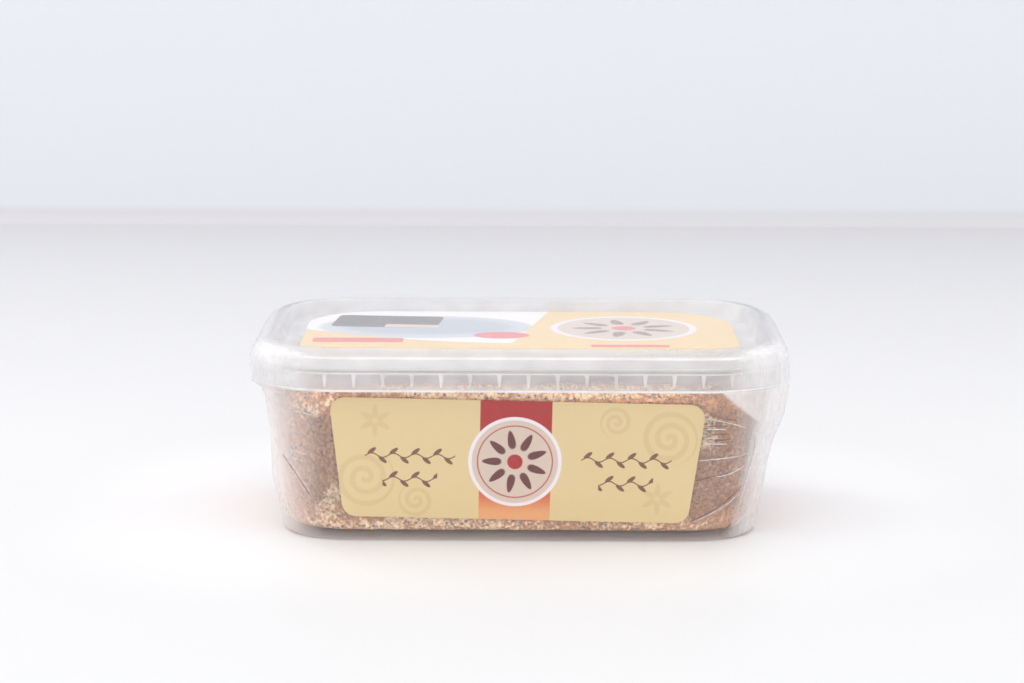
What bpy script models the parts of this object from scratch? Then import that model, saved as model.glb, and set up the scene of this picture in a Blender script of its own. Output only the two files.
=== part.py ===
"""A sealed tub of marbled chocolate halva: clear tub, clear lid, labels and a stretched film wrap.

The tub stands on its foot with +Z up, its long side along X, and the origin under its middle.
Every sub-part is a loft of rounded rectangles. An inset is a distance in from the lid's outer edge.
"""

import math

import bmesh
import bpy
from mathutils import Vector, noise

MM = 0.001

# Plan of the lid's outer edge
RIM_WIDTH = 169.0 * MM
RIM_DEPTH = 112.4 * MM
RIM_RADIUS = 27.3 * MM
RADIUS_LOST_PER_INSET = 0.56
CORNER_STEPS = 10
SMOOTH_LIMIT = math.radians(30)

# Heights from the table
FLOOR_UNDERSIDE = 2.2 * MM
FLOOR_TOP = 3.1 * MM
SKIRT_BOTTOM = 49.1 * MM
FLANGE_UNDERSIDE = 54.5 * MM
FLANGE_TOP = 55.4 * MM
LID_SEAT = 55.7 * MM
PANEL_TOP = 57.3 * MM
LID_TOP = 61.7 * MM

# Walls and clearances
FOOT_INSET = 10.2 * MM
DRAFT = 0.125
WALL = 0.9 * MM
GAP = 0.3 * MM
FOOT_WIDTH = 2.0 * MM

# Ribs behind the skirt of the tub
RIB_PITCH = 8.94 * MM
RIBS_ALONG_FRONT = 15
RIBS_ALONG_END = 7
RIB_SHIFT = 2.7 * MM
RIB_BOTTOM = 50.6 * MM
RIB_TOP_WIDTH = 1.5 * MM
RIB_TIP_WIDTH = 0.6 * MM

# Halva
HALVA_TOP = 50.3 * MM
HALVA_DIP = 1.5 * MM
HALVA_SIDE_CRAG = 0.7 * MM
HALVA_TOP_CRAG = 1.1 * MM
HALVA_BOTTOM_ROUND = 1.6 * MM
HALVA_STEPS_ALONG = 12
HALVA_STEPS_ACROSS = 6
HALVA_LEVELS = 9
HALVA_TOP_RINGS = 5
CRAGS_PER_METRE = 90.0
FINE_CRAGS_PER_METRE = 260.0

# Labels
LABEL_THICKNESS = 0.2 * MM
FRONT_LABEL_TOP_WIDTH = 116.8 * MM
FRONT_LABEL_BOTTOM_WIDTH = 107.2 * MM
FRONT_LABEL_HEIGHT = 38.6 * MM
FRONT_LABEL_CENTRE = (-0.9 * MM, 26.5 * MM)
FRONT_LABEL_TURN = math.radians(1.1)
FRONT_LABEL_CORNER = 4.5 * MM
LABEL_CORNER_STEPS = 6
LABEL_BENDS = (-57.0, -55.0, -53.0, -50.0, 50.0, 53.0, 55.0)
TOP_LABEL_WIDTH = 140.0 * MM
TOP_LABEL_DEPTH = 92.0 * MM
TOP_LABEL_CORNER = 25.0 * MM

# Film wrap
FILM = 0.25 * MM
FILM_BOTTOM = 0.6 * MM
FILM_RIM_INSET = -0.6 * MM
FILM_OVER_WALL = 0.6 * MM
FILM_OVER_LABEL = 1.1 * MM
FILM_PUCKER = 0.35 * MM
FILM_TAUT_FROM = 41.0 * MM
LABEL_ZONE_BOTTOM = 4.0 * MM
LABEL_ZONE_HALF = 61.0 * MM
LABEL_ZONE_FADE = 8.0 * MM
FILM_SWING_LENGTH = 1.3 * RIM_WIDTH
FILM_STEPS_ALONG = 10
FILM_STEPS_ACROSS = 5
PUCKER_TURN_PER_POINT = 1.9
PUCKER_TURN_PER_METRE = 240.0

COLLECTION_NAME = "sealed_halva_tub"
HELPERS_NAME = "helpers"


def clear_scene():
    for item in list(bpy.data.objects):
        bpy.data.objects.remove(item, do_unlink=True)


def new_collection(name):
    collection = bpy.data.collections.new(name)
    bpy.context.scene.collection.children.link(collection)
    return collection


def plastic(name, colour, roughness, transmission=0.0):
    material = bpy.data.materials.new(name)
    material.use_nodes = True
    shader = material.node_tree.nodes["Principled BSDF"]
    shader.inputs["Base Color"].default_value = (*colour, 1.0)
    shader.inputs["Roughness"].default_value = roughness
    shader.inputs["Metallic"].default_value = 0.0
    shader.inputs["Transmission Weight"].default_value = transmission
    return material


def place(mesh, name, material, collection, parent, location=(0.0, 0.0, 0.0)):
    """Makes a node of a mesh, hung on the empty."""
    mesh.materials.append(material)
    item = bpy.data.objects.new(name, mesh)
    item.location = location
    item.parent = parent
    collection.objects.link(item)
    return item


def radius_at(inset):
    return RIM_RADIUS - RADIUS_LOST_PER_INSET * inset


def wall_inset(height):
    """Inset of the outside of the tub's wall at a height."""
    return FOOT_INSET - DRAFT * height


def inner_inset(height):
    """Inset of the inside of the tub's wall at a height."""
    return wall_inset(height) + WALL * math.hypot(1.0, DRAFT)


def spread(start, end, steps):
    """Points from start up to, and not with, the end."""
    return [start.lerp(end, i / steps) for i in range(steps)]


def outline(half_width, half_depth, radius, long_steps=1, short_steps=1):
    """A rounded rectangle in plan, anticlockwise from the start of its front right corner."""
    centres = (
        Vector((half_width - radius, radius - half_depth)),
        Vector((half_width - radius, half_depth - radius)),
        Vector((radius - half_width, half_depth - radius)),
        Vector((radius - half_width, radius - half_depth)),
    )
    arcs = []
    for quarter, centre in enumerate(centres):
        arc = []
        for step in range(CORNER_STEPS + 1):
            angle = math.pi / 2 * (quarter - 1 + step / CORNER_STEPS)
            arc.append(centre + radius * Vector((math.cos(angle), math.sin(angle))))
        arcs.append(arc)
    points = []
    for quarter, arc in enumerate(arcs):
        following = arcs[(quarter + 1) % 4]
        steps = short_steps if quarter % 2 == 0 else long_steps
        points += arc[:-1]
        points += spread(arc[-1], following[0], steps)
    return points


def rim_outline(inset, long_steps=1, short_steps=1):
    half_width = RIM_WIDTH / 2 - inset
    half_depth = RIM_DEPTH / 2 - inset
    return outline(half_width, half_depth, radius_at(inset), long_steps, short_steps)


def edge_depth(along, inset, half_length, half_across):
    """How far from the middle plane a side of the outline lies, also where it turns into a corner."""
    radius = radius_at(inset)
    past = max(0.0, abs(along) - (half_length - inset - radius))
    return half_across - inset - radius + math.sqrt(radius * radius - past * past)


def skin_rings(shape, rings):
    """Joins rings of equal count with quads, lowest or innermost first."""
    made = [[shape.verts.new(point) for point in ring] for ring in rings]
    for low, high in zip(made, made[1:]):
        for i in range(len(low)):
            j = (i + 1) % len(low)
            shape.faces.new((low[i], low[j], high[j], high[i]))
    return made


def loft(name, rings, close_start=True, close_end=True):
    shape = bmesh.new()
    made = skin_rings(shape, rings)
    if close_start:
        shape.faces.new(reversed(made[0]))
    if close_end:
        shape.faces.new(made[-1])
    if close_start and close_end:
        bmesh.ops.recalc_face_normals(shape, faces=shape.faces)
    mesh = bpy.data.meshes.new(name)
    shape.to_mesh(mesh)
    shape.free()
    mesh.shade_smooth()
    mesh.set_sharp_from_angle(angle=SMOOTH_LIMIT)
    return mesh


def profile_loft(name, sections, base=0.0):
    """A closed loft through (inset, height) sections, measured up from the base."""
    rings = []
    for inset, height in sections:
        rings.append([(p.x, p.y, height - base) for p in rim_outline(inset)])
    return loft(name, rings)


def rib_mesh():
    """All the ribs between the wall and the skirt, as wedges that reach into both."""
    shape = bmesh.new()
    front_half = (RIBS_ALONG_FRONT - 1) / 2
    end_half = (RIBS_ALONG_END - 1) / 2
    for side in (-1, 1):
        for i in range(RIBS_ALONG_FRONT):
            along = (i - front_half) * RIB_PITCH - side * RIB_SHIFT
            add_rib(shape, along, side, RIM_WIDTH / 2, RIM_DEPTH / 2, False)
        for i in range(RIBS_ALONG_END):
            along = (i - end_half) * RIB_PITCH
            add_rib(shape, along, side, RIM_DEPTH / 2, RIM_WIDTH / 2, True)
    bmesh.ops.recalc_face_normals(shape, faces=shape.faces)
    mesh = bpy.data.meshes.new("ribs")
    shape.to_mesh(mesh)
    shape.free()
    return mesh


def add_rib(shape, along, side, half_length, half_across, turned):
    levels = (
        (RIB_BOTTOM, RIB_TIP_WIDTH),
        (FLANGE_UNDERSIDE + WALL / 3, RIB_TOP_WIDTH),
    )
    corners = []
    for height, width in levels:
        outer = WALL * 0.6
        inner = wall_inset(height) + WALL * 0.5
        for inset, edge in ((outer, -1), (outer, 1), (inner, 1), (inner, -1)):
            across = side * edge_depth(along, inset, half_length, half_across)
            position = along + edge * width / 2
            xy = (across, position) if turned else (position, across)
            corners.append(shape.verts.new((*xy, height)))
    low, high = corners[:4], corners[4:]
    shape.faces.new(low)
    shape.faces.new(high)
    for i in range(4):
        j = (i + 1) % 4
        shape.faces.new((low[i], low[j], high[j], high[i]))


def make_tub(collection, helpers, parent):
    """Tapered clear tub: foot, raised floor, wall, flange and turned-down skirt."""
    foot_round = 0.6 * MM
    skirt_lean = 0.15 * MM
    flange_round = 0.4 * MM
    floor_fillet = 1.2 * MM
    foot_inner = FOOT_INSET + FOOT_WIDTH
    floor_corner = inner_inset(FLOOR_TOP)
    sections = (
        (foot_inner + 3 * floor_fillet, FLOOR_UNDERSIDE),
        (foot_inner + foot_round, FLOOR_UNDERSIDE),
        (foot_inner, 0.0),
        (FOOT_INSET + foot_round, 0.0),
        (FOOT_INSET, foot_round),
        (wall_inset(FLANGE_UNDERSIDE), FLANGE_UNDERSIDE),
        (WALL + skirt_lean, FLANGE_UNDERSIDE),
        (WALL, SKIRT_BOTTOM),
        (0.0, SKIRT_BOTTOM),
        (skirt_lean, FLANGE_TOP - flange_round),
        (skirt_lean + flange_round, FLANGE_TOP),
        (inner_inset(FLANGE_TOP) - flange_round, FLANGE_TOP),
        (inner_inset(FLANGE_TOP), FLANGE_TOP - flange_round),
        (inner_inset(FLOOR_TOP + floor_fillet), FLOOR_TOP + floor_fillet),
        (floor_corner + floor_fillet, FLOOR_TOP),
        (floor_corner + 3 * floor_fillet, FLOOR_TOP),
    )
    material = plastic("clear_tub_plastic", (0.93, 0.91, 0.92), 0.12, 0.9)
    tub = place(profile_loft("tub", sections), "tub", material, collection, parent)
    ribs = bpy.data.objects.new("ribs", rib_mesh())
    ribs.parent = parent
    ribs.hide_render = True
    ribs.display_type = "WIRE"
    helpers.objects.link(ribs)
    join = tub.modifiers.new("join_ribs", "BOOLEAN")
    join.operation = "UNION"
    join.solver = "EXACT"
    join.object = ribs
    return tub


def make_lid(collection, parent):
    """Clear lid: sunk panel, raised ridge, creased two-facet shoulder, rim and inner plug."""
    plug_bottom = 53.2 * MM
    plug_outer = inner_inset(plug_bottom) + 0.35 * MM
    plug_inner = plug_outer + WALL
    ridge_outer = 5.9 * MM
    ridge_inner = 7.6 * MM
    crease_inset = 1.7 * MM
    crease_height = 59.3 * MM
    rim_top = 56.8 * MM
    edge = 0.4 * MM
    panel_edge = 9.1 * MM
    panel_middle = 13.0 * MM
    plug_top = crease_height - edge / 4
    ridge_hollow = LID_TOP - WALL - 1.5 * edge
    sections = (
        (panel_middle, PANEL_TOP),
        (panel_edge + edge, PANEL_TOP),
        (panel_edge, PANEL_TOP + edge),
        (ridge_inner + edge, LID_TOP - edge),
        (ridge_inner, LID_TOP),
        (ridge_outer + edge, LID_TOP),
        (ridge_outer - edge, LID_TOP - edge),
        (crease_inset + edge, crease_height + edge / 2),
        (crease_inset - edge / 2, crease_height - edge / 2),
        (edge / 2, rim_top + edge),
        (0.0, rim_top),
        (0.0, LID_SEAT + edge / 2),
        (edge / 2, LID_SEAT),
        (WALL, LID_SEAT),
        (WALL + edge / 2, rim_top),
        (crease_inset + WALL, crease_height - WALL),
        (plug_outer - edge, plug_top + edge),
        (plug_outer, plug_top),
        (plug_outer, plug_bottom + edge),
        (plug_outer + edge / 2, plug_bottom),
        (plug_inner - edge / 2, plug_bottom),
        (plug_inner, plug_bottom + edge),
        (plug_inner, ridge_hollow),
        (plug_inner + edge, LID_TOP - WALL),
        (ridge_inner - edge, LID_TOP - WALL),
        (panel_edge - 2 * edge, PANEL_TOP),
        (panel_edge - edge, PANEL_TOP - WALL),
        (panel_middle, PANEL_TOP - WALL),
    )
    material = plastic("clear_lid_plastic", (0.95, 0.94, 0.95), 0.1, 0.9)
    mesh = profile_loft("lid", sections, LID_SEAT)
    return place(mesh, "lid", material, collection, parent, (0.0, 0.0, LID_SEAT))


def halva_crag(point):
    """Unevenness of the pressed halva, between 0 and 1."""
    typical = 0.35
    coarse = 0.8 * noise.noise(point * CRAGS_PER_METRE)
    fine = 0.5 * noise.noise(point * FINE_CRAGS_PER_METRE)
    return min(1.0, max(0.0, typical + coarse + fine))


def halva_side_rings():
    """Rings up the wall, with flaky hollows between the lowest and the highest."""
    bottom = FLOOR_TOP + GAP
    rings = []
    for level in range(HALVA_LEVELS + 1):
        height = bottom + (HALVA_TOP - bottom) * level / HALVA_LEVELS
        inset = inner_inset(height) + GAP
        if level == 0:
            inset += HALVA_BOTTOM_ROUND
        ring = []
        for p in rim_outline(inset, HALVA_STEPS_ALONG, HALVA_STEPS_ACROSS):
            point = Vector((p.x, p.y, height))
            out = Vector((p.x, p.y, 0.0)).normalized()
            if 0 < level < HALVA_LEVELS:
                point -= out * halva_crag(point) * HALVA_SIDE_CRAG
            ring.append(point)
        rings.append(ring)
    return rings


def halva_top_rings(edge):
    """Rings inwards from the edge over the rough top, which sinks towards the right."""
    rings = []
    for step in range(1, HALVA_TOP_RINGS + 1):
        share = 1.0 - step / (HALVA_TOP_RINGS + 1)
        ring = []
        for p in edge:
            point = Vector((p.x * share, p.y * share, HALVA_TOP))
            lump = (halva_crag(point) - 0.5) * HALVA_TOP_CRAG
            dip = HALVA_DIP * max(0.0, p.x / (RIM_WIDTH / 2)) * (1.0 - share * share)
            point.z += lump - dip
            ring.append(point)
        rings.append(ring)
    return rings


def make_halva(collection, parent):
    """The block of halva pressed into the tub."""
    rings = halva_side_rings()
    rings += halva_top_rings(rings[-1])
    material = plastic("marbled_halva", (0.42, 0.29, 0.22), 0.75)
    return place(loft("halva_block", rings), "halva_block", material, collection, parent)


def rounded_polygon(corners, radius, steps):
    """Rounds each corner of a convex polygon, given anticlockwise, with an arc."""
    points = []
    for i, corner in enumerate(corners):
        before = (corners[i - 1] - corner).normalized()
        after = (corners[(i + 1) % len(corners)] - corner).normalized()
        half = before.angle(after) / 2
        middle = (before + after).normalized()
        centre = corner + middle * (radius / math.sin(half))
        start = corner + before * (radius / math.tan(half)) - centre
        end = corner + after * (radius / math.tan(half)) - centre
        for step in range(steps + 1):
            ray = start.lerp(end, step / steps).normalized()
            points.append(centre + ray * radius)
    return points


def side_label_mesh(name, side):
    """A tapered label laid on the long wall, side -1 at the front and 1 at the back."""
    top = FRONT_LABEL_TOP_WIDTH / 2
    bottom = FRONT_LABEL_BOTTOM_WIDTH / 2
    half = FRONT_LABEL_HEIGHT / 2
    corners = [Vector(c) for c in ((-bottom, -half), (bottom, -half), (top, half), (-top, half))]
    centre = Vector(FRONT_LABEL_CENTRE)
    cos, sin = math.cos(-FRONT_LABEL_TURN), math.sin(-FRONT_LABEL_TURN)
    shape = bmesh.new()
    verts = []
    for p in rounded_polygon(corners, FRONT_LABEL_CORNER, LABEL_CORNER_STEPS):
        turned = Vector((cos * p.x - sin * p.y, sin * p.x + cos * p.y)) + centre
        verts.append(shape.verts.new((turned.x, 0.0, turned.y)))
    shape.faces.new(verts)
    for cut in LABEL_BENDS:
        geometry = shape.verts[:] + shape.edges[:] + shape.faces[:]
        bmesh.ops.bisect_plane(shape, geom=geometry, plane_co=(cut * MM, 0, 0), plane_no=(1, 0, 0))
    for vert in shape.verts:
        inset = wall_inset(vert.co.z) - GAP
        depth = edge_depth(vert.co.x, inset, RIM_WIDTH / 2, RIM_DEPTH / 2)
        vert.co.y = -depth
    if side > 0:
        for vert in shape.verts:
            vert.co.xy = -vert.co.xy
    mesh = bpy.data.meshes.new(name)
    shape.to_mesh(mesh)
    shape.free()
    return mesh


def make_side_label(name, side, collection, parent):
    material = plastic(name + "_print", (0.77, 0.64, 0.39), 0.5)
    label = place(side_label_mesh(name, side), name, material, collection, parent)
    thicken = label.modifiers.new("thickness", "SOLIDIFY")
    thicken.thickness = LABEL_THICKNESS
    thicken.offset = 1.0
    return label


def make_top_label(collection, parent):
    """The flat label stuck on the lid's sunk panel, an extruded 2D outline."""
    curve = bpy.data.curves.new("top_label", "CURVE")
    curve.dimensions = "2D"
    curve.fill_mode = "BOTH"
    curve.extrude = LABEL_THICKNESS / 2
    points = outline(TOP_LABEL_WIDTH / 2, TOP_LABEL_DEPTH / 2, TOP_LABEL_CORNER)
    spline = curve.splines.new("POLY")
    spline.points.add(len(points) - 1)
    for target, point in zip(spline.points, points):
        target.co = (point.x, point.y, 0.0, 1.0)
    spline.use_cyclic_u = True
    curve.materials.append(plastic("top_label_print", (0.86, 0.66, 0.36), 0.45))
    label = bpy.data.objects.new("top_label", curve)
    label.location = (0.0, 0.0, PANEL_TOP + GAP + LABEL_THICKNESS / 2)
    label.parent = parent
    collection.objects.link(label)
    return label


# The film's outer face by height: its inset at the left end, where it clings to the wall,
# and at the right end, where it bridges from the rim to the foot
FILM_PROFILE = (
    (FILM_BOTTOM, 9.6 * MM, 9.6 * MM),
    (3.0 * MM, 9.1 * MM, 9.0 * MM),
    (8.4 * MM, 8.0 * MM, 8.0 * MM),
    (12.8 * MM, 6.7 * MM, 7.3 * MM),
    (18.0 * MM, 6.0 * MM, 6.5 * MM),
    (24.0 * MM, 5.9 * MM, 5.4 * MM),
    (31.0 * MM, 5.6 * MM, 3.6 * MM),
    (38.0 * MM, 4.8 * MM, 0.8 * MM),
    (43.0 * MM, 4.0 * MM, -0.2 * MM),
    (46.5 * MM, 2.7 * MM, -0.5 * MM),
    (48.8 * MM, -0.3 * MM, FILM_RIM_INSET),
)

# The film's outer face over the lid, as insets and heights
FILM_SHOULDER = (
    (FILM_RIM_INSET, 57.0 * MM),
    (1.3 * MM, 59.3 * MM + GAP + FILM),
    (5.5 * MM, LID_TOP + 0.35 * MM),
    (6.3 * MM, LID_TOP + GAP + FILM),
    (14.0 * MM, LID_TOP + GAP + FILM),
)


def eased(value):
    """A smooth step from 0 to 1."""
    share = min(1.0, max(0.0, value))
    return share * share * (3.0 - 2.0 * share)


def film_limit(x, height):
    """The deepest inset of the film's outer face that stays clear of the wall and the side labels."""
    beside_label = eased((abs(x) - LABEL_ZONE_HALF) / LABEL_ZONE_FADE)
    over_label = FILM_OVER_LABEL if height > LABEL_ZONE_BOTTOM else FILM_OVER_WALL
    return wall_inset(height) - over_label - (FILM_OVER_WALL - over_label) * beside_label


def film_inset(x, height, cling, bridge):
    share = eased(0.5 + x / FILM_SWING_LENGTH)
    return min(film_limit(x, height), cling + (bridge - cling) * share)


def film_ring(inset_of, height, pucker):
    """One ring of the film, whose inset may differ from point to point."""
    guide = rim_outline(0.0, FILM_STEPS_ALONG, FILM_STEPS_ACROSS)
    ring = []
    for i, p in enumerate(guide):
        inset = inset_of(p.x)
        q = rim_outline(inset, FILM_STEPS_ALONG, FILM_STEPS_ACROSS)[i]
        end = abs(p.x) / (RIM_WIDTH / 2)
        turn = i * PUCKER_TURN_PER_POINT + height * PUCKER_TURN_PER_METRE
        wave = math.sin(turn) * pucker * end * end
        out = Vector((q.x, q.y)).normalized()
        q = q + out * max(0.0, wave)
        ring.append((q.x, q.y, height))
    return ring


def make_film(collection, parent):
    """Clear film drawn flat over the lid's ridge, round the rim and down to the foot, open below."""
    rings = []
    for height, cling, bridge in FILM_PROFILE:
        loose = LABEL_ZONE_BOTTOM < height < FILM_TAUT_FROM
        pucker = FILM_PUCKER if loose else 0.0
        rings.append(film_ring(lambda x: film_inset(x, height, cling, bridge), height, pucker))
    for inset, height in FILM_SHOULDER:
        rings.append(film_ring(lambda x: inset, height, 0.0))
    mesh = loft("film_wrap", rings, close_start=False)
    material = plastic("stretched_film", (0.97, 0.97, 0.98), 0.05, 0.95)
    film = place(mesh, "film_wrap", material, collection, parent)
    thicken = film.modifiers.new("thickness", "SOLIDIFY")
    thicken.thickness = FILM
    thicken.offset = -1.0
    thicken.use_even_offset = True
    return film


def main():
    clear_scene()
    collection = new_collection(COLLECTION_NAME)
    helpers = new_collection(HELPERS_NAME)
    base = bpy.data.objects.new("tub_base_point", None)
    collection.objects.link(base)
    make_tub(collection, helpers, base)
    make_halva(collection, base)
    make_lid(collection, base)
    make_side_label("front_label", -1, collection, base)
    make_side_label("back_label", 1, collection, base)
    make_top_label(collection, base)
    make_film(collection, base)


main()
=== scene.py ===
"""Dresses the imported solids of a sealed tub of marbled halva: halva, clear plastic, labels and film."""

import math

import bmesh
import bpy
from bpy.props import FloatProperty, FloatVectorProperty, IntProperty, PointerProperty
from mathutils import Matrix, Vector, noise
from mathutils.bvhtree import BVHTree


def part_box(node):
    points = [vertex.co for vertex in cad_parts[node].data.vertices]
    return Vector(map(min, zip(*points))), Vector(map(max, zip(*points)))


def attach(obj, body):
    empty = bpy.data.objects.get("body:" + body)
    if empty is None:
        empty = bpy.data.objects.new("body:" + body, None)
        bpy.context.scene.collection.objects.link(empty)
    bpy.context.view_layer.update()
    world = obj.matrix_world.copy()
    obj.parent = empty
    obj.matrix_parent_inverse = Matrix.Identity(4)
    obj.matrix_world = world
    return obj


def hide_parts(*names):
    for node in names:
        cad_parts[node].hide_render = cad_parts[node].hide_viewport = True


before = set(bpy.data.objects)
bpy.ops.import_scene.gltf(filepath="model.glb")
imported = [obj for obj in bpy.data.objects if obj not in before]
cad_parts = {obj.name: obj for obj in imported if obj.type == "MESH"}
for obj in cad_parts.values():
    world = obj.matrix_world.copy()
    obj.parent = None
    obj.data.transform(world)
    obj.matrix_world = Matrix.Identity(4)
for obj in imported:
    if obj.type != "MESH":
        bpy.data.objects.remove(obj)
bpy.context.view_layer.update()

bl_info = {
    "name": "Halva Tub Dresser",
    "version": (1, 0, 0),
    "blender": (4, 5, 0),
    "location": "3D View > Sidebar > Halva Tub",
    "description": "Gives a sealed tub of halva its halva, clear plastic, printed labels and film",
    "category": "Object",
}

BODY = "root"
MM = 0.001
PER_MM = 1.0 / MM


def srgb(red, green, blue):
    """A screen colour, from 0 to 255 a channel, as the linear colour that shaders take."""
    return tuple(((c / 255 + 0.055) / 1.055) ** 2.4 for c in (red, green, blue))


def rgba(colour):
    return (*colour, 1.0)


def a_colour(default, description):
    return FloatVectorProperty(
        description=description, subtype="COLOR", size=3, min=0.0, max=1.0, default=default
    )


def a_length(default, description):
    return FloatProperty(description=description, unit="LENGTH", default=default)


def a_share(default, description):
    return FloatProperty(description=description, subtype="FACTOR", min=0.0, max=1.0, default=default)


def a_power(default, description):
    return FloatProperty(description=description, min=0.0, default=default)


def a_count(default, description):
    return IntProperty(description=description, min=0, default=default)


# Sizes and colours that a user would change


class HalvaSettings(bpy.types.PropertyGroup):
    wall_reach: a_length(0.12 * MM, "How far the halva reaches into the tub's wall")
    crag_depth: a_length(0.75 * MM, "Depth of the flaky pits at the wall")
    top_crag: a_length(1.1 * MM, "Height of the crumbly top")
    top_dip: a_length(1.5 * MM, "How far the top sinks towards its middle")
    mesh_step: a_length(0.9 * MM, "Width of the halva's mesh cells")
    easing: a_count(16, "How often the halva's rings are smoothed")
    cocoa: a_colour((0.465, 0.276, 0.178), "The brown halva")
    cocoa_dark: a_colour((0.31, 0.168, 0.102), "The darker brown streaks")
    cream: a_colour((0.82, 0.66, 0.47), "The pale halva of the marbling")
    # Painted shade: the blue-grey colour of the air holes at the wall
    speck: a_colour((0.13, 0.13, 0.17), "The blue-grey air holes at the wall")
    crumbs: a_count(26000, "Density of loose crumbs on top")
    seed: a_count(4, "Seed of the crumbs")


class PrintSettings(bpy.types.PropertyGroup):
    cream: a_colour(srgb(226, 203, 152), "Ground of the side labels")
    ornament: a_colour(srgb(211, 184, 133), "Tone-on-tone scrolls")
    crimson: a_colour(srgb(172, 6, 12), "Top of the band")
    coral: a_colour(srgb(227, 84, 82), "Red bars, oval and hub of the top label")
    flame: a_colour(srgb(214, 92, 56), "Lower part of the band")
    peach: a_colour(srgb(234, 168, 114), "Foot of the band")
    ring: a_colour(srgb(240, 232, 238), "Ring of the badge")
    badge: a_colour(srgb(216, 196, 182), "Face of the badge")
    maroon: a_colour(srgb(98, 38, 34), "Fine vines and the rosette")
    sun: a_colour(srgb(238, 198, 113), "Yellow fields of the top label")
    paper: a_colour(srgb(248, 245, 244), "White fields of the top label")
    plate: a_colour(srgb(150, 165, 182), "Pale blue-grey oval of the top label")
    slab: a_colour(srgb(52, 30, 30), "Dark bar of the top label")


class PlasticSettings(bpy.types.PropertyGroup):
    tub_haze: a_share(0.015, "Milkiness of each face of the tub's wall")
    foot_haze: a_share(0.05, "Milkiness of the tub's foot")
    rib_haze: a_share(0.4, "Milkiness of the ribs under the lid")
    skirt_haze: a_share(0.40, "Milkiness of the tub's turned-down skirt")
    # Painted highlight: how white the bright line along the skirt's lower edge is
    edge_highlight_haze: a_share(0.95, "Milkiness of the skirt's lower edge")
    lid_haze: a_share(0.60, "Milkiness of each face of the lid's panel")
    wall_haze: a_share(0.50, "Milkiness of each face of the lid's upright wall")
    ridge_haze: a_share(0.36, "Milkiness of each face of the lid's ridge")
    mirror: a_share(0.022, "Reflection of a face seen straight on")
    milk: a_colour(srgb(238, 236, 237), "Colour of the haze")
    tint: a_colour((0.985, 0.983, 0.985), "What the plastic lets through")


class FilmSettings(bpy.types.PropertyGroup):
    milk: a_colour(srgb(247, 246, 247), "Colour of the film's haze")
    haze: a_share(0.01, "Milkiness of the taut film")
    fold_haze: a_share(0.8, "Milkiness of gathered film at the ends")
    shoulder_haze: a_share(0.14, "Milkiness of the film over the lid's shoulder")
    thickness: a_length(0.1 * MM, "Thickness of the film")
    wrinkle: a_length(0.2 * MM, "Height of the wrinkles at the ends")
    mesh_step: a_length(1.1 * MM, "Width of the film's mesh cells")
    easing: a_count(10, "How often the film's rings are smoothed")
    crease_radius: a_length(0.17 * MM, "Radius of a pinched crease")


class StageSettings(bpy.types.PropertyGroup):
    floor: a_colour((0.732, 0.732, 0.742), "The pale table")
    # Painted light: a paler patch of table round the tub, over its shadow
    beside: a_colour((0.85, 0.85, 0.86), "The table close to the tub")
    # Painted shade: the table darker towards its far part
    far_floor_shade: a_colour((0.597, 0.597, 0.622), "The table's far part")
    # Painted shade: a darker band where the table meets the wall
    fold: a_colour((0.61, 0.60, 0.62), "Where the table meets the wall")
    wall: a_colour((0.745, 0.765, 0.81), "The pale wall behind")
    sky: a_power(1.22, "Strength of the even light")
    window: a_power(1.9, "Power of the window light")
    key: a_power(3.2, "Power of the broad light overhead")


# Node building


def new_node(tree, kind, settings=None, sockets=None):
    """Adds a node to a tree: its settings come first, then the values or links of its sockets."""
    item = tree.nodes.new(kind)
    for name, value in (settings or {}).items():
        setattr(item, name, value)
    for key, value in (sockets or {}).items():
        value = getattr(value, "socket", value)
        if isinstance(value, bpy.types.NodeSocket):
            tree.links.new(value, item.inputs[key])
        else:
            item.inputs[key].default_value = value
    return item


class Wire:
    """A socket of a material that adds Math nodes as it takes part in a sum."""

    def __init__(self, graph, socket):
        self.graph = graph
        self.socket = socket

    def __add__(self, other):
        return self.graph.math("ADD", self, other)

    def __sub__(self, other):
        return self.graph.math("SUBTRACT", self, other)

    def __rsub__(self, other):
        return self.graph.math("SUBTRACT", other, self)

    def __mul__(self, other):
        return self.graph.math("MULTIPLY", self, other)

    def __truediv__(self, other):
        return self.graph.math("DIVIDE", self, other)

    def __mod__(self, other):
        return self.graph.math("FLOORED_MODULO", self, other)

    def __pow__(self, power):
        return self.graph.math("POWER", self, power)

    def __abs__(self):
        return self.graph.math("ABSOLUTE", self)

    __radd__ = __add__
    __rmul__ = __mul__


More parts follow.
